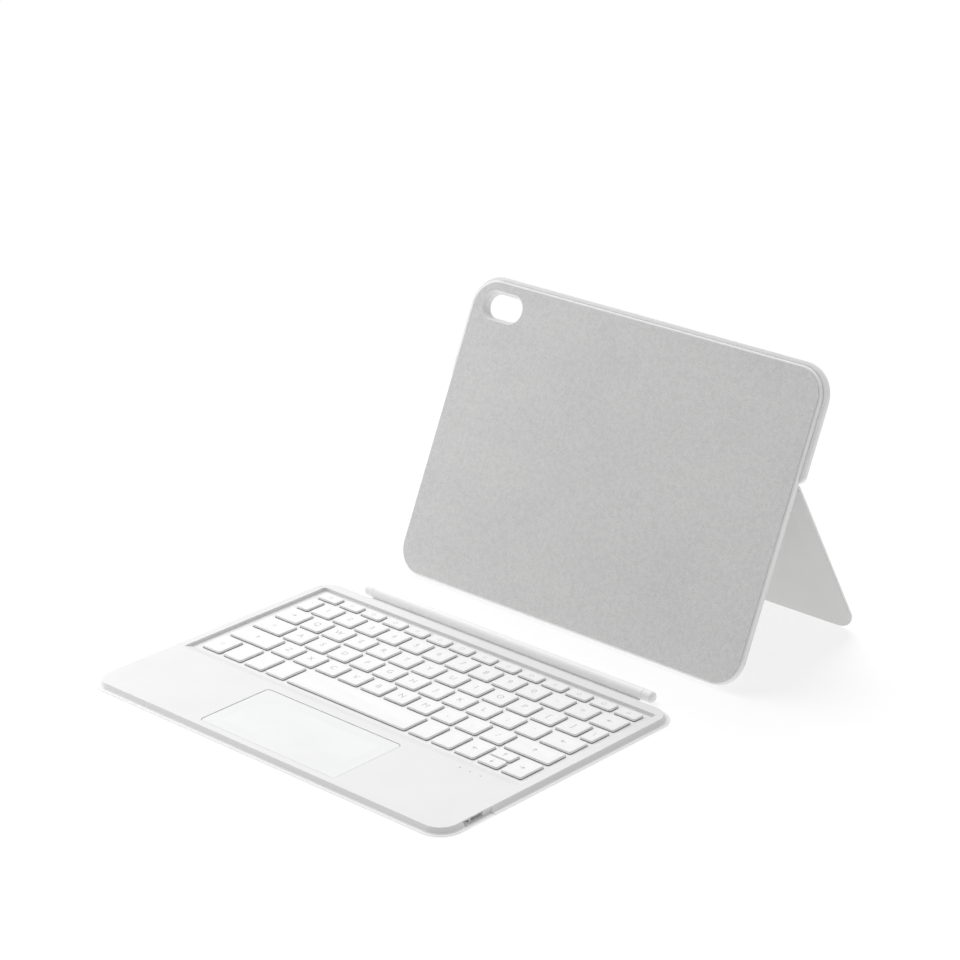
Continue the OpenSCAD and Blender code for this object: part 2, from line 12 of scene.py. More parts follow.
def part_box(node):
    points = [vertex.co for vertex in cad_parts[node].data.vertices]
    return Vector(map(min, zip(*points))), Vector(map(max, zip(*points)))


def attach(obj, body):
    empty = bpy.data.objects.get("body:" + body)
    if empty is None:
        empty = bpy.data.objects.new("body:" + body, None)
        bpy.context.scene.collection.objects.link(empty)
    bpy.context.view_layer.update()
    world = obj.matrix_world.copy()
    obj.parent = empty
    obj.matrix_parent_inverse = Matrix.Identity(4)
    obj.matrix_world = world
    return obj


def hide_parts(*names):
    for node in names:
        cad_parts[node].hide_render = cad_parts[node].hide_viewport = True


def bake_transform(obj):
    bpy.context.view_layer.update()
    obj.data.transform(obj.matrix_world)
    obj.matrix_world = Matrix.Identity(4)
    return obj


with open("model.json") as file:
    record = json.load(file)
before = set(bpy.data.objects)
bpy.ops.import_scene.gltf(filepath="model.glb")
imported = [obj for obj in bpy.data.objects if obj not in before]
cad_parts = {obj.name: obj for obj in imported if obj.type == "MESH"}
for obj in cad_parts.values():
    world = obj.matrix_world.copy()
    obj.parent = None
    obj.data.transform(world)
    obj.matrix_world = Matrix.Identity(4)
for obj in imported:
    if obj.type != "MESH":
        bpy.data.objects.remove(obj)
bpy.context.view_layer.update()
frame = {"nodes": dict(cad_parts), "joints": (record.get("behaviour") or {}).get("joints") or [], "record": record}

MM = 0.001
CORNER_STEPS = 14
UP = Vector((0, 0, 1))
ACROSS = Vector((1, 0, 0))
SLOTS = {part["node"]: part["material_slot"] for part in frame["record"]["subparts"]}


# ---- Flat frames, in millimetres ----

class Sheet:
    """A flat frame on a body: a across, b along it, h through its thickness."""

    def __init__(self, origin, along, through):
        self.origin, self.a, self.b, self.h = origin, ACROSS, along, through

    def at(self, a, b, h):
        return self.origin + (self.a * a + self.b * b + self.h * h) * MM

    def local(self, point):
        offset = (point - self.origin) / MM
        return Vector((offset.dot(self.a), offset.dot(self.b), offset.dot(self.h)))

    def extent(self, node):
        """Lowest and highest (a, b, h) of a CAD node."""
        points = [self.local(v.co) for v in frame["nodes"][node].data.vertices]
        low = Vector([min(p[i] for p in points) for i in range(3)])
        high = Vector([max(p[i] for p in points) for i in range(3)])
        return low, high

    def rect(self, node):
        low, high = self.extent(node)
        return low.x, low.y, high.x, high.y


def islands(node, sheet):
    """(low, high) corners of each separate solid of a CAD node, from left to right."""
    bm = bmesh.new()
    bm.from_mesh(frame["nodes"][node].data)
    bmesh.ops.remove_doubles(bm, verts=bm.verts, dist=1e-7)
    left, found = set(bm.verts), []
    while left:
        stack, group = [left.pop()], []
        while stack:
            vert = stack.pop()
            group.append(sheet.local(vert.co))
            for edge in vert.link_edges:
                other = edge.other_vert(vert)
                if other in left:
                    left.remove(other)
                    stack.append(other)
        low = Vector([min(p[i] for p in group) for i in range(3)])
        high = Vector([max(p[i] for p in group) for i in range(3)])
        found.append((low, high))
    bm.free()
    return sorted(found, key=lambda box: (box[0].x, box[0].y))


def largest_normal(node):
    mesh = frame["nodes"][node].data
    return max(mesh.polygons, key=lambda face: face.area).normal.copy()


def record_item(items, name):
    return next(item for item in items if item["name"] == name)


def make_sheets():
    keyboard = Sheet(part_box("base_cover")[0], Vector((0, 1, 0)), UP)
    face = record_item(frame["record"]["mounts"], "tablet_face")
    back = -Vector(face["axis"]).normalized()
    case = Sheet(Vector(face["pos_m"]), ACROSS.cross(back), back)
    case.b = case.b if case.b.z > 0 else -case.b
    fold = record_item(frame["joints"], "kickstand_fold")
    outward = largest_normal("kickstand_lining")
    outward = outward if outward.y > 0 else -outward
    stand = Sheet(Vector(fold["pos_m"]), ACROSS.cross(outward), outward)
    stand.b = stand.b if stand.b.z > 0 else -stand.b
    return keyboard, case, stand


KEYBOARD, CASE, STAND = make_sheets()


# ---- Mesh building ----

def new_object(name, bm):
    bmesh.ops.recalc_face_normals(bm, faces=bm.faces)
    mesh = bpy.data.meshes.new(name)
    bm.to_mesh(mesh)
    bm.free()
    obj = bpy.data.objects.new(name, mesh)
    bpy.context.scene.collection.objects.link(obj)
    return obj


def drop(*objects):
    for obj in objects:
        bpy.data.objects.remove(obj)


def bake(obj):
    """Turns the object's modifiers into its mesh."""
    bpy.context.view_layer.update()
    graph = bpy.context.evaluated_depsgraph_get()
    mesh = bpy.data.meshes.new_from_object(obj.evaluated_get(graph))
    obj.modifiers.clear()
    obj.data = mesh


def cut(obj, *cutters):
    for cutter in cutters:
        step = obj.modifiers.new("cut", "BOOLEAN")
        step.operation, step.solver, step.object = "DIFFERENCE", "EXACT", cutter
        bake(obj)
        drop(cutter)
        if not obj.data.polygons:
            raise ValueError(f"cutting left nothing of {obj.name}")
    return obj


def polish(obj, angle=32):
    """Smooth shading between soft edges, with the flat faces kept flat."""
    mesh = obj.data
    mesh.polygons.foreach_set("use_smooth", [True] * len(mesh.polygons))
    mesh.set_sharp_from_angle(angle=math.radians(angle))
    step = obj.modifiers.new("flat", "WEIGHTED_NORMAL")
    step.keep_sharp, step.weight = True, 90
    bake(obj)
    return obj


def rounded_path(points, steps=4):
    """A path of (x, y) or (x, y, radius) points, with an arc at each point that has a radius."""
    path = []
    for i, point in enumerate(points):
        corner = Vector(point[:2])
        if len(point) == 2 or i in (0, len(points) - 1):
            path.append(corner)
            continue
        to_last, to_next = Vector(points[i - 1][:2]) - corner, Vector(points[i + 1][:2]) - corner
        half = to_last.angle(to_next) / 2
        reach = min(point[2] / math.tan(half), 0.49 * to_last.length, 0.49 * to_next.length)
        radius = reach * math.tan(half)
        to_last.normalize()
        to_next.normalize()
        centre = corner + (to_last + to_next).normalized() * radius / math.sin(half)
        first = corner + to_last * reach - centre
        last = corner + to_next * reach - centre
        turn = first.angle_signed(last)
        for k in range(steps + 1):
            spoke = first.copy()
            spoke.rotate(Matrix.Rotation(-turn * k / steps, 2))
            path.append(centre + spoke)
    return path


def rounded_ring(rect, radii, inset):
    """Points around a rectangle with rounded corners, from the far right one anticlockwise."""
    x0, y0, x1, y1 = rect[0] + inset, rect[1] + inset, rect[2] - inset, rect[3] - inset
    ring = []
    for k, radius in enumerate(radii):
        r = max(radius - inset, 0.02)
        cx = x1 - r if k in (0, 3) else x0 + r
        cy = y1 - r if k < 2 else y0 + r
        for i in range(CORNER_STEPS + 1):
            angle = math.radians(90 * k + 90 * i / CORNER_STEPS)
            ring.append((cx + r * math.cos(angle), cy + r * math.sin(angle)))
    return ring


def loft(bm, rings, closed=False):
    rows = [[bm.verts.new(point) for point in ring] for ring in rings]
    pairs = list(zip(rows, rows[1:])) + ([(rows[-1], rows[0])] if closed else [])
    for low, high in pairs:
        for k in range(len(low)):
            j = (k + 1) % len(low)
            bm.faces.new((low[k], low[j], high[j], high[k]))
    if not closed:
        bm.faces.new(rows[0][::-1])
        bm.faces.new(rows[-1])


def four(radius):
    return radius if isinstance(radius, tuple) else (radius,) * 4


def add_slab(bm, sheet, rect, radius, path, steps=4):
    """A slab whose side follows path, a list of (inset, height[, fillet]) points."""
    rings = []
    for inset, height in rounded_path(path, steps):
        ring = rounded_ring(rect, four(radius), inset)
        rings.append([sheet.at(a, b, height) for a, b in ring])
    loft(bm, rings)


def slab(name, sheet, rect, radius, path, steps=4):
    bm = bmesh.new()
    add_slab(bm, sheet, rect, radius, path, steps)
    return new_object(name, bm)


def flared(low, high, floor_fillet, lip):
    """Side path of a cutter: a fillet at its floor and a lip that rounds the edge it leaves."""
    return [(4, low), (0, low, floor_fillet), (0, high, 3 * lip), (-2 * lip, high + lip / 4),
            (-2 * lip, high + 1)]


def box_cutter(sheet, low, high):
    rect = (low[0], low[1], high[0], high[1])
    return slab("cutter", sheet, rect, 0.02, [(0, low[2]), (0, high[2])])


def prism(name, sheet, a0, a1, outline):
    """A bar from a0 to a1 whose section is an outline of (b, h) points."""
    bm = bmesh.new()
    loft(bm, [[sheet.at(a, b, h) for b, h in outline] for a in (a0, a1)])
    return new_object(name, bm)


def add_lathe(bm, sheet, centre, axis, profile, closed=False, steps=48):
    """Turns a profile of (distance along axis, radius) points about an axis of the sheet."""
    side = (sheet.h, sheet.a, sheet.b)["abh".index(axis)]
    along = getattr(sheet, axis)
    other = along.cross(side)
    start = sheet.at(*centre)
    rings = []
    for distance, radius in profile:
        ring = []
        for k in range(steps):
            angle = 2 * math.pi * k / steps
            spoke = side * math.cos(angle) + other * math.sin(angle)
            ring.append(start + (along * distance + spoke * max(radius, 0.01)) * MM)
        rings.append(ring)
    loft(bm, rings, closed)


def soften(node, name, width, segments=3, angle=30):
    """A copy of a CAD node with its sharp edges rounded."""
    bm = bmesh.new()
    bm.from_mesh(frame["nodes"][node].data)
    bmesh.ops.remove_doubles(bm, verts=bm.verts, dist=1e-7)
    flat = math.radians(1)
    bmesh.ops.dissolve_limit(bm, angle_limit=flat, verts=bm.verts, edges=bm.edges)
    sharp = [e for e in bm.edges
             if len(e.link_faces) == 2 and e.calc_face_angle(0) > math.radians(angle)]
    bmesh.ops.bevel(bm, geom=sharp, offset=width * MM, offset_type="OFFSET", segments=segments,
                    profile=0.5, affect="EDGES", clamp_overlap=False)
    return polish(new_object(name, bm))


def place(obj, body, slot, *nodes):
    """Hands a finished piece to the frame: its body, its finish and the nodes it stands for."""
    obj.data.materials.clear()
    obj.data.materials.append(MATERIALS[slot])
    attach(obj, body)
    if nodes:
        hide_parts(*nodes)


# ---- Materials ----

class Nodes:
    """Short names for the shader nodes that the materials share."""

    def __init__(self, name):
        self.material = bpy.data.materials.new(name)
        self.material.use_nodes = True
        self.tree = self.material.node_tree
        self.shader = self.tree.nodes["Principled BSDF"]
        self.coords = self.tree.nodes.new("ShaderNodeTexCoord").outputs["Object"]

    def link(self, source, target):
        self.tree.links.new(source, target)

    def noise(self, size_mm, detail=3, stretch=None):
        """Noise whose features are about size_mm across, stretched along the axes."""
        node = self.tree.nodes.new("ShaderNodeTexNoise")
        node.inputs["Scale"].default_value = 1 / (size_mm * MM)
        node.inputs["Detail"].default_value = detail
        source = self.coords
        if stretch:
            mapping = self.tree.nodes.new("ShaderNodeMapping")
            mapping.inputs["Scale"].default_value = stretch
            self.link(source, mapping.inputs["Vector"])
            source = mapping.outputs["Vector"]
        self.link(source, node.inputs["Vector"])
        return node.outputs["Fac"]

    def fit(self, value, low, high, start=0.3, end=0.7):
        node = self.tree.nodes.new("ShaderNodeMapRange")
        for name, number in (("From Min", start), ("From Max", end), ("To Min", low),
                             ("To Max", high)):
            node.inputs[name].default_value = number
        self.link(value, node.inputs["Value"])
        return node.outputs["Result"]

    def ramp(self, value, dark, light, start=0.3, end=0.7):
        node = self.tree.nodes.new("ShaderNodeValToRGB")
        node.color_ramp.elements[0].position = start
        node.color_ramp.elements[1].position = end
        node.color_ramp.elements[0].color = (*dark, 1)
        node.color_ramp.elements[1].color = (*light, 1)
        self.link(value, node.inputs["Fac"])
        return node.outputs["Color"]

    def mix(self, first, second, share, kind="MULTIPLY"):
        """share is a number or a node's output."""
        node = self.tree.nodes.new("ShaderNodeMix")
        node.data_type, node.blend_type = "RGBA", kind
        if isinstance(share, (int, float)):
            node.inputs["Factor"].default_value = share
        else:
            self.link(share, node.inputs["Factor"])
        self.link(first, node.inputs["A"])
        self.link(second, node.inputs["B"])
        return node.outputs["Result"]

    def bump(self, height, depth_mm, strength=1.0):
        node = self.tree.nodes.new("ShaderNodeBump")
        node.inputs["Strength"].default_value = strength
        node.inputs["Distance"].default_value = depth_mm * MM
        self.link(height, node.inputs["Height"])
        self.link(node.outputs["Normal"], self.shader.inputs["Normal"])

    def worn_edges(self, color, light):
        """Edges rubbed a little lighter."""
        geometry = self.tree.nodes.new("ShaderNodeNewGeometry").outputs["Pointiness"]
        share = self.fit(geometry, 0, 0.6, 0.52, 0.6)
        plain = self.ramp(geometry, light, light, 0, 1)
        return self.mix(color, plain, share, "MIX")


def tint(color, amount):
    return tuple(min(1, c * amount) for c in color)


def plastic(slot, color, rough=0.45, grain=0.35, depth=0.004, cloud=24, spread=0.015,
            specular=0.4, wear=1.03):
    """Moulded plastic: fine spark-eroded grain, faint clouding and edges rubbed lighter."""
    n = Nodes(slot)
    fine, broad = n.noise(grain, 4), n.noise(cloud, 2)
    base = n.ramp(broad, tint(color, 1 - spread), tint(color, 1 + spread / 2))
    speck = n.ramp(fine, (0.975, 0.975, 0.975), (1, 1, 1))
    base = n.mix(base, speck, 1.0)
    base = n.worn_edges(base, tint(color, wear))
    n.link(base, n.shader.inputs["Base Color"])
    n.link(n.fit(fine, rough - 0.05, rough + 0.07), n.shader.inputs["Roughness"])
    n.shader.inputs["Specular IOR Level"].default_value = specular
    n.bump(fine, depth)
    return n.material


def suede(slot, color):
    """Brushed microfibre: short nap in clumps, brushed patches and a soft sheen."""
    n = Nodes(slot)
    nap = n.noise(0.45, 5, (1, 1, 0.7))
    clump = n.noise(2.6, 5)
    brushed = n.noise(38, 3, (0.8, 1, 1.3))
    base = n.ramp(nap, tint(color, 0.86), tint(color, 1.08), 0.32, 0.68)
    base = n.mix(base, n.ramp(clump, (0.93, 0.93, 0.93), (1, 1, 1), 0.35, 0.6), 1.0)
    base = n.mix(base, n.ramp(brushed, (0.965, 0.962, 0.965), (1, 1, 1)), 1.0)
    n.link(base, n.shader.inputs["Base Color"])
    n.link(n.fit(clump, 0.82, 0.97), n.shader.inputs["Roughness"])
    n.shader.inputs["Specular IOR Level"].default_value = 0.2
    n.shader.inputs["Sheen Weight"].default_value = 0.15
    n.shader.inputs["Sheen Roughness"].default_value = 0.6
    n.bump(nap, 0.09, 0.8)
    return n.material


def metal(slot, color, rough=0.3, stretch=(1, 14, 14), grain=0.3):
    """Brushed or plated metal: fine lines, cloudy gloss."""
    n = Nodes(slot)
    lines, broad = n.noise(grain, 4, stretch), n.noise(6, 2)
    base = n.ramp(lines, tint(color, 0.9), tint(color, 1.06))
    n.link(n.worn_edges(base, tint(color, 1.2)), n.shader.inputs["Base Color"])
    n.link(n.fit(broad, rough - 0.06, rough + 0.1), n.shader.inputs["Roughness"])
    n.shader.inputs["Metallic"].default_value = 1.0
    n.bump(lines, 0.004)
    return n.material


def circuit(slot, color):
    """Solder mask over copper tracks."""
    n = Nodes(slot)
    cells = n.tree.nodes.new("ShaderNodeTexVoronoi")
    cells.distance, cells.feature = "CHEBYCHEV", "DISTANCE_TO_EDGE"
    cells.inputs["Scale"].default_value = 1 / (3 * MM)
    n.link(n.coords, cells.inputs["Vector"])
    tracks = cells.outputs["Distance"]
    base = n.ramp(tracks, tint(color, 1.5), color, 0.02, 0.08)
    n.link(base, n.shader.inputs["Base Color"])
    n.link(n.fit(n.noise(1.2), 0.25, 0.4), n.shader.inputs["Roughness"])
    n.bump(tracks, 0.01, 0.5)
    return n.material


def clear_plastic(slot, color):
    n = Nodes(slot)
    speck = n.noise(0.2, 3)
    n.link(n.ramp(speck, tint(color, 0.9), color), n.shader.inputs["Base Color"])
    n.link(n.fit(speck, 0.08, 0.2), n.shader.inputs["Roughness"])
    n.shader.inputs["Transmission Weight"].default_value = 0.3
    n.bump(speck, 0.003)
    return n.material


def grey(value, warm=0.0):
    return value * (1 + warm), value, value * (1 - warm)


MATERIALS = {
    "grey_suede": suede("grey_suede", grey(0.705, 0.003)),
    "soft_white": plastic("soft_white", grey(0.88), rough=0.55, grain=0.3),
    "shell_white": plastic("shell_white", grey(0.9), rough=0.5),
    "bezel_white": plastic("bezel_white", grey(0.82), rough=0.4),
    # stand_inner: the stand's inner face has a light grey of its own, set darker here as painted shade for the
    # shade between the case and the stand
    "stand_inner": plastic("stand_inner", grey(0.68, 0.006), rough=0.6, grain=0.5, depth=0.01),
    "bar_white": plastic("bar_white", grey(0.93), rough=0.42, grain=0.25),
    "web_white": plastic("web_white", grey(0.8), rough=0.7, grain=0.6, depth=0.03),
    "deck_white": plastic("deck_white", grey(0.8), rough=0.5, grain=0.28, depth=0.005),
    "keycap_white": plastic("keycap_white", grey(0.88), rough=0.5, grain=0.22, depth=0.003),
    "legend_grey": plastic("legend_grey", grey(0.5), rough=0.5, grain=0.1, depth=0.001),
    "touchpad_white": plastic("touchpad_white", grey(0.82, -0.004), rough=0.32, grain=0.2,
                              depth=0.002),
    "steel": metal("steel", grey(0.55, -0.01)),
    "magnet": metal("magnet", grey(0.6), rough=0.18, stretch=(1, 1, 1), grain=0.8),
    "plate_aluminium": metal("plate_aluminium", grey(0.75), rough=0.35),
    "membrane": plastic("membrane", grey(0.4), rough=0.35, grain=1.5),
    "dome_rubber": plastic("dome_rubber", grey(0.55), rough=0.75, grain=0.2, depth=0.02),
    "battery_foil": plastic("battery_foil", grey(0.25), rough=0.3, grain=2.5, depth=0.05),
    "board_green": circuit("board_green", (0.06, 0.3, 0.15)),
    "switch_grey": plastic("switch_grey", grey(0.5), rough=0.5),
    "light_pipe": clear_plastic("light_pipe", grey(0.85)),
}


# ---- Keyboard shell ----

BASE_W = KEYBOARD.extent("base_cover")[1].x
BASE_R = 14
DECK_LEAN = 1.8
WINDOW_GAP = 0.14
WINDOW_R = 1.3
PAD_GAP = 0.35
PAD_R = 2.5
WELL = (8.3, 69.0, BASE_W - 8.3, 171.8)
WELL_FLOOR = 1.7
WELL_MARGIN = 1.2
WELL_CORNER = 1.6
RAMP = 6.0
DECK_WALL = 3.2
PALM_END = 56.8
ROOM_END = 175
SKIN = 0.8
PLATE = 0.4
NOTCH = (BASE_W - 3.6, 18.5, BASE_W + 40, 38.5)
NOTCH_FLOOR = 0.4
WEB_ROOM = 1.6
WEB_GAP = 0.05
WEB_BACK_ROOM = 5
PORT_GAP = 0.05
PORT_REACH = 1
KNOB_ROOM = (0.15, 4.25)
KNOB_GAP = 0.2
LIGHT_R = 0.5
LIGHT_GAP = 0.02
BASE_HOLLOW = 8
BASE_FLOOR = 0.6
BASE_CHAMFER = (0.5, 0.32)

KEY_NODES = sorted(n for n in SLOTS if SLOTS[n] == "keycap_white")


def well_cutter(top):
    """The sunken key well: flat floor, soft ramp in front, rounded upper edge."""
    x0, y0, x1, y1 = WELL
    ramp = RAMP / (top - WELL_FLOOR)
    rings = []
    for inset, height in rounded_path(flared(WELL_FLOOR, top, 0.3, 0.22), 5):
        rise = height - WELL_FLOOR
        rect = (x0, y0 - ramp * min(rise, top - WELL_FLOOR), x1, y1)
        ring = rounded_ring(rect, four(WELL_CORNER), inset)
        rings.append([KEYBOARD.at(a, b, height) for a, b in ring])
    bm = bmesh.new()
    loft(bm, rings)
    return new_object("cutter", bm)


def window_cutter():
    bm = bmesh.new()
    for node in KEY_NODES:
        for low, high in islands(node, KEYBOARD):
            rect = (low.x - WINDOW_GAP, low.y - WINDOW_GAP, high.x + WINDOW_GAP,
                    high.y + WINDOW_GAP)
            path = [(0, -1), (0, WELL_FLOOR, 0.15), (-0.1, WELL_FLOOR + 0.06),
                    (-0.1, WELL_FLOOR + 1)]
            add_slab(bm, KEYBOARD, rect, WINDOW_R, path, 2)
    return new_object("cutter", bm)


def grown(node, gap, reach):
    """A box cutter round a CAD node with gap to spare, open by reach towards the right."""
    low, high = KEYBOARD.extent(node)
    return box_cutter(KEYBOARD, low - Vector((gap, gap, gap)), high + Vector((reach, gap, gap)))


def web_cutter(below, above):
    """Room for the web between the covers, from below to above its middle."""
    low, high = KEYBOARD.extent("web_tongue")
    return box_cutter(KEYBOARD, (low.x - WEB_ROOM, low.y - 0.2, low.z - below),
                      (high.x + WEB_ROOM, high.y + WEB_BACK_ROOM, low.z + above))


def light_cutter(top):
    bm = bmesh.new()
    for low, high in islands("status_lights", KEYBOARD):
        centre = (low + high) / 2
        bore = LIGHT_R + LIGHT_GAP
        profile = [(0, bore), (top - 0.1, bore), (top, bore + 0.08), (top + 1, bore + 0.08)]
        add_lathe(bm, KEYBOARD, (centre.x, centre.y, 0), "h", profile, steps=24)
    return new_object("cutter", bm)


def make_deck():
    low, high = KEYBOARD.extent("deck_cover")
    rect = (low.x, low.y, high.x, high.y)
    top, bottom, radius = high.z, low.z, BASE_R - low.x
    side = [(9, bottom), (0, bottom), (0.02, bottom + 0.1), (0.55, bottom + 0.32, 0.4),
            (DECK_LEAN, top, 0.34), (9, top)]
    deck = slab("keyboard_deck", KEYBOARD, rect, radius, side, 6)
    palm = (low.x + DECK_WALL, low.y + DECK_WALL, high.x - DECK_WALL, PALM_END)
    palm_hollow = slab("cutter", KEYBOARD, palm, radius - DECK_WALL, [(0, -1), (0, top - SKIN)])
    key_hollow = box_cutter(KEYBOARD, (WELL[0] - WELL_MARGIN, PALM_END + 0.2, -1),
                            (WELL[2] + WELL_MARGIN, ROOM_END, WELL_FLOOR - PLATE))
    p0, q0, p1, q1 = KEYBOARD.rect("touchpad")
    recess = slab("cutter", KEYBOARD, (p0 - PAD_GAP, q0 - PAD_GAP, p1 + PAD_GAP, q1 + PAD_GAP),
                  PAD_R + PAD_GAP,
                  [(0, -1), (0, top, 0.3), (-0.16, top + 0.03), (-0.16, top + 1)])
    notch = slab("cutter", KEYBOARD, NOTCH, 0.3, [(0, -1), (0, top + 1)])
    knob_low, knob_high = KEYBOARD.extent("power_slider")
    knob_slot = box_cutter(
        KEYBOARD, (NOTCH[0] - 2, knob_low.y + KNOB_ROOM[0], knob_low.z - KNOB_GAP),
        (NOTCH[0] + 1, knob_low.y + KNOB_ROOM[1], knob_high.z + KNOB_GAP))
    cut(deck, palm_hollow, key_hollow, recess, well_cutter(top), window_cutter(),
        web_cutter(3, 0.55), notch, grown("usb_c_port", PORT_GAP, PORT_REACH), knob_slot,
        light_cutter(top))
    place(polish(deck), "keyboard", "deck_white", "deck_cover")


def make_base():
    low, high = KEYBOARD.extent("base_cover")
    rect = (low.x, low.y, high.x, high.y)
    side = [(13, 0), (BASE_CHAMFER[0], 0), (0, BASE_CHAMFER[1], 0.15), (0, high.z, 0.2),
            (6, high.z)]
    base = slab("keyboard_base", KEYBOARD, rect, BASE_R, side, 5)
    inner = (BASE_HOLLOW, BASE_HOLLOW, high.x - BASE_HOLLOW, high.y - BASE_HOLLOW)
    pocket = slab("cutter", KEYBOARD, inner, 6, [(0, BASE_FLOOR), (0, 2)])
    notch = slab("cutter", KEYBOARD, NOTCH, 0.3, [(0, NOTCH_FLOOR), (0, 2)])
    cut(base, pocket, notch, grown("usb_c_port", PORT_GAP, PORT_REACH), web_cutter(WEB_GAP, 3))
    place(polish(base), "keyboard", "soft_white", "base_cover")


def make_touchpad():
    low, high = KEYBOARD.extent("touchpad")
    side = [(8, low.z), (0, low.z, 0.05), (0, high.z, 0.14), (8, high.z)]
    pad = slab("touch_surface", KEYBOARD, (low.x, low.y, high.x, high.y), PAD_R, side)
    place(polish(pad), "touchpad", "touchpad_white", "touchpad")


def make_lights():
    bm = bmesh.new()
    for low, high in islands("status_lights", KEYBOARD):
        centre = (low + high) / 2
        profile = rounded_path([(0, 0), (0, LIGHT_R), (high.z - low.z, LIGHT_R, 0.3),
                                (high.z - low.z, 0)])
        add_lathe(bm, KEYBOARD, (centre.x, centre.y, low.z), "h", profile, steps=24)
    place(polish(new_object("light_lenses", bm)), "keyboard", "light_pipe", "status_lights")


# ---- Keys ----

DISH = 0.05
INK = 0.004
LEGEND_SIZE = 5.6
ARROW_SCALE = 1.35
RING_STEPS = 20
MARKS = {
    "number_keys": "`1234567890-=", "upper_letter_keys": "QWERTYUIOP[]",
    "home_letter_keys": "ASDFGHJKL;'", "lower_letter_keys": "ZXCVBNM,./", "backslash_key": "\\",
}
ARROWS = {
    "left_arrow_key": 180, "right_arrow_key": 0, "up_arrow_key": 90, "down_arrow_key": 270,
    "tab_key": 0, "backspace_key": 180, "enter_key": 180, "left_shift_key": 90,
    "right_shift_key": 90,
}
RING_KEYS = ("function_keys", "escape_key", "lock_key", "fn_key", "caps_lock_key")


def add_keycap(bm, low, high):
    """A keycap: hollow below, straight skirt, soft edge and a slightly dished top."""
    z0, z1 = low.z, high.z
    side = [(1.35, z1 - 0.5), (1.0, z1 - 0.5), (1.0, z0), (0.06, z0), (0, z0 + 0.06),
            (0, z0 + 0.45), (0.14, z1, 0.28), (0.9, z1 - 0.012), (1.8, z1 - 0.036),
            (2.7, z1 - DISH), (3.2, z1 - DISH)]
    add_slab(bm, KEYBOARD, (low.x, low.y, high.x, high.y), 1.2, side, 4)


def text_mesh(mark):
    curve = bpy.data.curves.new("mark", "FONT")
    curve.body, curve.size = mark, LEGEND_SIZE
    curve.align_x, curve.align_y = "CENTER", "CENTER"
    curve.resolution_u = 4
    obj = bpy.data.objects.new("mark", curve)
    bpy.context.scene.collection.objects.link(obj)
    graph = bpy.context.evaluated_depsgraph_get()
    mesh = bpy.data.meshes.new_from_object(obj.evaluated_get(graph))
    drop(obj)
    return mesh


def add_flat(bm, points, place_at):
    verts = [bm.verts.new(place_at(x, y)) for x, y in points]
    bm.faces.new(verts)


def add_letter(bm, mark, centre, height):
    """One printed character, a thin raised layer of ink."""
    start = len(bm.verts)
    bm.from_mesh(text_mesh(mark))
    bm.verts.ensure_lookup_table()
    for vert in bm.verts[start:]:
        vert.co = KEYBOARD.at(centre.x + vert.co.x, centre.y + vert.co.y, height)


def add_arrow(bm, centre, height, degrees):
    """A solid arrowhead on a short stem."""
    turn = Matrix.Rotation(math.radians(degrees), 2)

    def put(x, y):
        point = turn @ Vector((x, y)) * ARROW_SCALE
        return KEYBOARD.at(centre.x + point.x, centre.y + point.y, height)

    add_flat(bm, [(0.1, -0.9), (1.4, 0), (0.1, 0.9)], put)
    add_flat(bm, [(-1.3, -0.18), (0.1, -0.18), (0.1, 0.18), (-1.3, 0.18)], put)


def add_ring(bm, centre, height, radius, width):
    """A printed ring, as a stand-in for a function key's sign."""
    inner, outer = [], []
    for k in range(RING_STEPS):
        angle = 2 * math.pi * k / RING_STEPS
        x, y = math.cos(angle), math.sin(angle)
        for ring, reach in ((inner, radius), (outer, radius + width)):
            point = KEYBOARD.at(centre.x + x * reach, centre.y + y * reach, height)
            ring.append(bm.verts.new(point))
    for k in range(RING_STEPS):
        j = (k + 1) % RING_STEPS
        bm.faces.new((inner[k], inner[j], outer[j], outer[k]))


def make_keys(node):
    boxes = islands(node, KEYBOARD)
    caps, ink = bmesh.new(), bmesh.new()
    marks = MARKS.get(node, "")
    for k, (low, high) in enumerate(boxes):
        add_keycap(caps, low, high)
        centre, height = (low + high) / 2, high.z - DISH + INK
        if k < len(marks):
            add_letter(ink, marks[k], centre, height)
        elif node in ARROWS:
            add_arrow(ink, centre, height, ARROWS[node])
        elif node in RING_KEYS:
            add_ring(ink, centre, height, 0.8 + 0.15 * (k % 3), 0.3)
    place(polish(new_object(f"caps_{node}", caps)), node, "keycap_white", node)
    if len(ink.faces):
        legends = new_object(f"legend_{node}", ink)
        for face in legends.data.polygons:
            if face.normal.z < 0:
                face.flip()
        place(legends, node, "keycap_white")
        legends.data.materials[0] = MATERIALS["legend_grey"]
    else:
        ink.free()


# ---- Hinge bar and web ----

BAR_R = 3.2
BAR_BORE = BAR_R - 0.7
BAR_EDGE = 0.18
SPIGOT_R = BAR_BORE - 0.06
CAP_GAP = 0.1
SPIGOT_GAP = 0.2
BAR_STEPS = 64
WEB_STEPS = 90


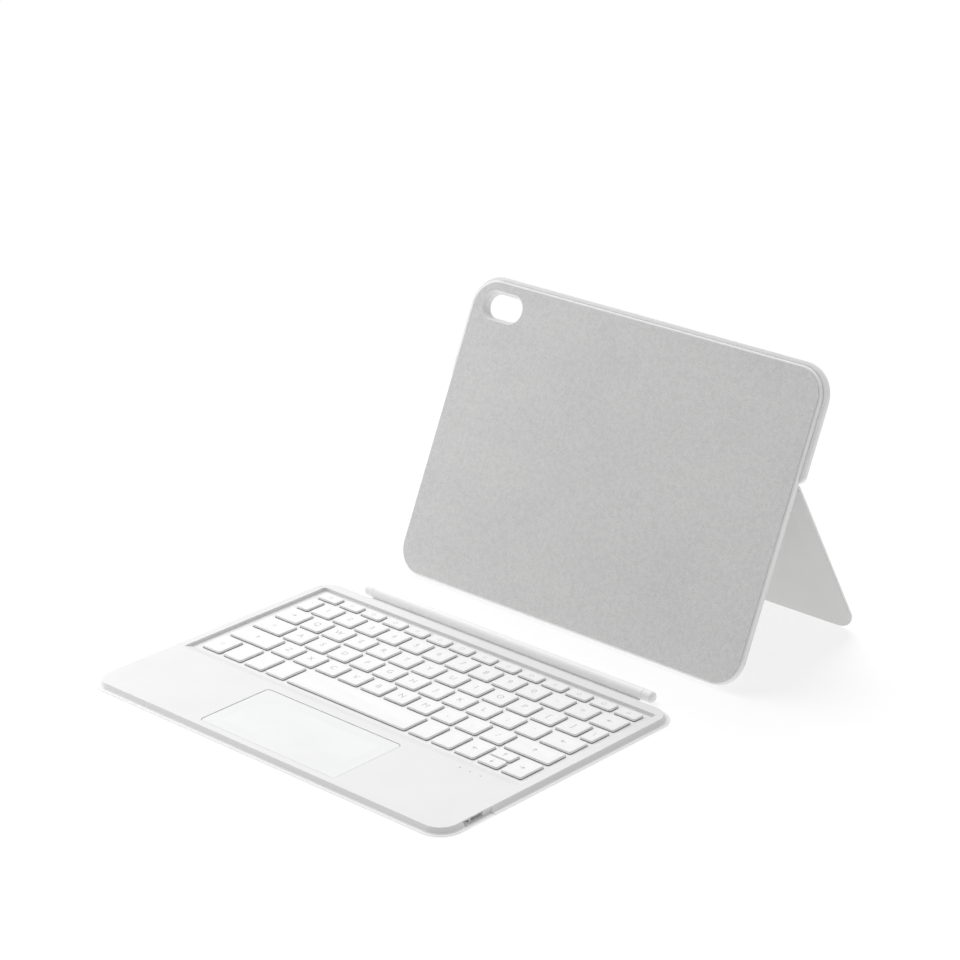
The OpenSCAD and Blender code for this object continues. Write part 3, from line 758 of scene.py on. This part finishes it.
def make_bar():
    low, high = KEYBOARD.extent("hinge_bar")
    caps_low, caps_high = KEYBOARD.extent("bar_end_caps")
    y, z = (caps_low.y + caps_high.y) / 2, (caps_low.z + caps_high.z) / 2
    length = high.x - low.x
    profile = rounded_path([(length / 2, BAR_BORE), (0, BAR_BORE), (0, BAR_R, BAR_EDGE),
                            (length, BAR_R, BAR_EDGE), (length, BAR_BORE),
                            (length / 2, BAR_BORE)])[1:]
    bm = bmesh.new()
    add_lathe(bm, KEYBOARD, (low.x, y, z), "a", profile, closed=True, steps=BAR_STEPS)
    tube = new_object("bar_tube", bm)
    web_low, web_high = KEYBOARD.extent("hinge_web")
    cut(tube, box_cutter(KEYBOARD, web_low, web_high + Vector((0, 0.05, 0))))
    place(polish(tube), "bar_sleeve", "bar_white", "hinge_bar")

    bm = bmesh.new()
    cap = low.x - caps_low.x - CAP_GAP
    run = (caps_high.x - caps_low.x) / 2 - SPIGOT_GAP
    outline = [(0, 0), (0, BAR_R / 2, 0.5), (BAR_R / 3, BAR_R, 1.4), (cap, BAR_R, BAR_EDGE),
               (cap, SPIGOT_R), (run, SPIGOT_R, 0.3), (run, 0)]
    for start, sign in ((caps_low.x, 1), (caps_high.x, -1)):
        profile = [(sign * x, r) for x, r in rounded_path(outline, 5)]
        add_lathe(bm, KEYBOARD, (start, y, z), "a", profile, steps=BAR_STEPS)
    place(polish(new_object("bar_caps", bm)), "dock_bar", "bar_white", "bar_end_caps")


def make_web():
    """The flexible web: one straight thin strip from between the covers to the bar."""
    low = KEYBOARD.extent("web_tongue")[0]
    high = KEYBOARD.extent("hinge_web")[1]
    middle, half = (low.z + high.z) / 2, (high.z - low.z) / 2
    edge = ((0.5, -1), (0.1, -0.8), (0, 0), (0.1, 0.8), (0.5, 1))
    rings = []
    for k in range(WEB_STEPS + 1):
        y = low.y + (high.y - low.y) * k / WEB_STEPS
        ring = []
        for x, side in ((low.x, 1), (high.x, -1)):
            for inset, lift in edge:
                ring.append(KEYBOARD.at(x + side * inset, y, middle + half * (lift * side)))
        rings.append(ring)
    bm = bmesh.new()
    loft(bm, rings)
    web = new_object("flexible_web", bm)
    web.data.materials.append(MATERIALS["web_white"])
    web.data.polygons.foreach_set("use_smooth", [True] * len(web.data.polygons))
    web.data.set_sharp_from_angle(angle=math.radians(40))
    fold = KEYBOARD.local(Vector(record_item(frame["joints"], "web_fold")["pos_m"]))
    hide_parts("hinge_web", "web_tongue")
    KEYBOARD.at(130, fold.y - 1.2, fold.z)
    KEYBOARD.at(130, fold.y + 1.2, fold.z)
    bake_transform(web)


# ---- Back case ----

PANEL_R = 17
LINING_INSET = 1.2
COVER_CORNER = 5
SEAT_GAP = 0.15
RING_W = 2.0
FUNNEL = 2.4
BEVEL_H = 3.0
BEVEL_DEPTH = 1.3
KNUCKLE_ROOM = 4.3
STAND_FOOT = 14


def camera_cutter(low, high):
    """The camera opening with its ring, from below a layer's front to above its back."""
    rect = CASE.rect("camera_bezel")
    radius = (rect[3] - rect[1]) / 2 - 0.01
    return slab("cutter", CASE, rect, radius, [(0, low.z - 1), (0, high.z + 1)])


def layer(name, node, radius, front, back):
    """One layer of the case, from its front face to its back face, with rounded edges."""
    low, high = CASE.extent(node)
    side = [(16, low.z), (0, low.z, front), (0, high.z, back), (16, high.z)]
    piece = slab(name, CASE, (low.x, low.y, high.x, high.y), radius, side, 5)
    return cut(piece, camera_cutter(low, high))


def make_panel():
    """The stiff panel between its soft lining in front and its thin white skin behind."""
    lining = layer("suede_lining", "inner_lining", PANEL_R - LINING_INSET, 0.4, 0.24)
    place(polish(lining), "case", "grey_suede", "inner_lining")
    panel = layer("panel_core", "front_panel", PANEL_R, 1.0, 0.4)
    bm = bmesh.new()
    for low, high in islands("dock_magnets", CASE):
        rect = (low.x - 0.1, low.y - 0.1, high.x + 0.1, high.y + 0.1)
        add_slab(bm, CASE, rect, 0.02, [(0, low.z - 0.1), (0, high.z + 1)])
    cut(panel, new_object("cutter", bm))
    place(polish(panel), "case", "shell_white", "front_panel")
    skin = layer("rear_skin", "back_skin", PANEL_R, 0.3, 0.4)
    place(polish(skin), "case", "soft_white", "back_skin")


def cover_rooms(floor):
    """Cutters for the rooms of the magnets' shields, the hinge knuckles and the brackets."""
    low = CASE.extent("back_cover")[0]
    rooms, knuckles, brackets = bmesh.new(), bmesh.new(), bmesh.new()
    for a, c in islands("magnet_shield", CASE):
        add_slab(rooms, CASE, (a.x - 2, a.y - 2, c.x + 2, c.y + 2), 2, [(0, floor), (0, c.z + 0.1)])
    for a, c in islands("hinge_brackets", CASE):
        middle = (a.x + c.x) / 2
        add_slab(knuckles, CASE, (middle - KNUCKLE_ROOM, low.y - 2, middle + KNUCKLE_ROOM,
                                  low.y + 4), 0.02, [(0, floor), (0, floor + 1.1)])
        add_slab(brackets, CASE, (a.x - 0.5, low.y + 3.2, c.x + 0.5, c.y + 1), 0.5,
                 [(0, floor), (0, floor + 1.3)])
    return [new_object("cutter", bm) for bm in (rooms, knuckles, brackets)]


def make_cover():
    low, high = CASE.extent("back_cover")
    skin_low, skin_high = CASE.extent("back_skin")
    round_r = PANEL_R + skin_low.x - low.x
    side = [(22, low.z), (0, low.z, 0.6), (0, high.z, 1.15), (22, high.z)]
    shell = slab("upper_shell", CASE, (low.x, low.y, high.x, high.y),
                 (round_r, round_r, COVER_CORNER, COVER_CORNER), side, 7)
    panel = (skin_low.x - SEAT_GAP, skin_low.y - SEAT_GAP, skin_high.x + SEAT_GAP,
             skin_high.y + SEAT_GAP)
    seat = slab("cutter", CASE, panel, PANEL_R + SEAT_GAP, [(0, low.z - 1), (0, skin_high.z)])
    b, h, reach = low.y + BEVEL_H, high.z, 4.0
    wedge = prism("cutter", CASE, low.x - 1, high.x + 1,
                  [(b + 0.6, h + 0.02), (b - 0.2, h - 0.03), (low.y - 0.1, h - BEVEL_DEPTH - 0.04),
                   (low.y - 1, h - BEVEL_DEPTH - 0.5), (low.y - reach, h + reach), (b, h + reach)])
    cut(shell, camera_cutter(low, high), seat, wedge, *cover_rooms(skin_high.z - 0.01))
    place(polish(shell), "case", "soft_white", "back_cover")


def make_camera_ring():
    """The ring round the camera hole: a funnel in front, then a straight throat."""
    low, high = CASE.extent("camera_bezel")
    rect = (low.x, low.y, high.x, high.y)
    tall = (high.y - low.y) / 2 - 0.01
    ring = slab("camera_ring", CASE, rect, tall,
                [(0.8, low.z), (0.1, low.z, 0.08), (0, low.z + 0.15), (0, high.z - 0.1),
                 (0.1, high.z), (0.8, high.z)])
    hole = slab("cutter", CASE, rect, tall,
                [(0.3, low.z - 1), (0.3, low.z), (0.5, low.z + 0.12, 0.1),
                 (RING_W, low.z + FUNNEL, 1.2), (RING_W, high.z - 0.3, 0.2),
                 (RING_W - 0.3, high.z), (RING_W - 0.3, high.z + 1)])
    cut(ring, hole)
    place(polish(ring), "case", "bezel_white", "camera_bezel")


def make_stand():
    low, high = STAND.extent("kickstand_lining")
    shape = (low.x, low.y, high.x, high.y)
    side = [(12, high.z), (0, high.z, 0.08), (0, low.z, 0.3), (12, low.z)]
    lining = slab("stand_face", STAND, shape, (0.4, 0.4, STAND_FOOT, STAND_FOOT), side, 5)
    place(polish(lining), "kickstand", "stand_inner", "kickstand_lining")
    place(soften("kickstand_panel", "stand_shell", 0.3), "kickstand", "soft_white",
          "kickstand_panel")


def make_hardware():
    """Small metal parts and the port keep their CAD shape, with broken edges."""
    for node, name, width, body in (
            ("hinge_brackets", "stand_brackets", 0.06, "case"),
            ("hinge_leaves", "stand_leaves", 0.05, "kickstand"),
            ("usb_c_port", "port_shell", 0.06, "keyboard"),
            ("power_slider", "slider_knob", 0.12, "power_slider")):
        place(soften(node, name, width, 2), body, SLOTS[node], node)


# ---- Stage ----

FLOOR_STEPS = 64
FLOOR_RADII = (0.5, 2, 8, 40)
FLOOR_DROP = 0.0001
FLOOR_GLOW = 0.73
SKY = 0.47
SUN = {"azimuth": -128, "elevation": 54, "strength": 1.9, "spread": 50}
SOFT_BOX = {"place_mm": (-430, -60, 240), "aim_mm": (80, 240, 100), "size": 0.5, "power": 1.35}
LENS = 112.06
VIEW_AZIMUTH = 42.51
VIEW_ELEVATION = 21.60
VIEW_DISTANCE = 1.76279
VIEW_AIM = (23.16, 286.46, 40)


def direction(azimuth, elevation):
    """The way to a point at that azimuth (0 is the front, 90 the right) and elevation."""
    a, e = math.radians(azimuth), math.radians(elevation)
    return Vector((math.sin(a) * math.cos(e), -math.cos(a) * math.cos(e), math.sin(e)))


def make_floor():
    bm = bmesh.new()
    rows = []
    for radius in FLOOR_RADII:
        angles = [t * 2 * math.pi / FLOOR_STEPS for t in range(FLOOR_STEPS)]
        rows.append([bm.verts.new((radius * math.cos(t), radius * math.sin(t), -FLOOR_DROP))
                     for t in angles])
    bm.faces.new(rows[0])
    for low, high in zip(rows, rows[1:]):
        for k in range(FLOOR_STEPS):
            j = (k + 1) % FLOOR_STEPS
            bm.faces.new((low[k], low[j], high[j], high[k]))
    floor = new_object("floor", bm)
    n = Nodes("floor_paint")
    soft = n.noise(400, 2)
    n.link(n.ramp(soft, grey(0.29), grey(0.31)), n.shader.inputs["Base Color"])
    n.link(n.ramp(soft, grey(0.995), grey(1.0)), n.shader.inputs["Emission Color"])
    n.shader.inputs["Emission Strength"].default_value = FLOOR_GLOW
    n.link(n.fit(soft, 0.85, 0.95), n.shader.inputs["Roughness"])
    n.shader.inputs["Specular IOR Level"].default_value = 0.0
    floor.data.materials.append(n.material)


def add_sun(name, azimuth, elevation, strength, spread):
    """A soft sun that shines from that azimuth and elevation."""
    light = bpy.data.lights.new(name, "SUN")
    light.energy, light.angle = strength, math.radians(spread)
    sun = bpy.data.objects.new(name, light)
    sun.rotation_euler = direction(azimuth, elevation).to_track_quat("Z", "Y").to_euler()
    bpy.context.scene.collection.objects.link(sun)


def add_panel_light(name, place_mm, aim_mm, size, power):
    """A square soft box at one point of the keyboard's frame, aimed at another."""
    light = bpy.data.lights.new(name, "AREA")
    light.size, light.energy = size, power
    obj = bpy.data.objects.new(name, light)
    obj.location = KEYBOARD.at(*place_mm)
    towards = KEYBOARD.at(*aim_mm) - obj.location
    obj.rotation_euler = towards.to_track_quat("-Z", "Y").to_euler()
    bpy.context.scene.collection.objects.link(obj)


def make_light():
    world = bpy.data.worlds.new("studio")
    world.use_nodes = True
    sky = world.node_tree.nodes["Background"]
    sky.inputs["Color"].default_value = (1, 1, 1, 1)
    sky.inputs["Strength"].default_value = SKY
    scene = bpy.context.scene
    scene.world = world
    scene.view_settings.view_transform = "Standard"
    add_sun("key", **SUN)
    add_panel_light("left_box", **SOFT_BOX)


def make_camera():
    camera = bpy.data.cameras.new("camera")
    camera.lens, camera.sensor_width = LENS, 36
    camera.clip_end = 100
    back = direction(VIEW_AZIMUTH, VIEW_ELEVATION)
    obj = bpy.data.objects.new("camera", camera)
    obj.location = KEYBOARD.at(*VIEW_AIM) + back * VIEW_DISTANCE
    obj.rotation_euler = back.to_track_quat("Z", "Y").to_euler()
    bpy.context.scene.collection.objects.link(obj)
    bpy.context.scene.camera = obj


def finish_cad_nodes():
    """Gives each CAD node that stays visible the material of its slot."""
    for name, obj in frame["nodes"].items():
        obj.data.materials.clear()
        obj.data.materials.append(MATERIALS[SLOTS[name]])


make_deck()
make_base()
make_touchpad()
make_lights()
for key_node in KEY_NODES:
    make_keys(key_node)
make_bar()
make_web()
make_panel()
make_cover()
make_camera_ring()
make_stand()
make_hardware()
finish_cad_nodes()
make_floor()
make_light()
make_camera()
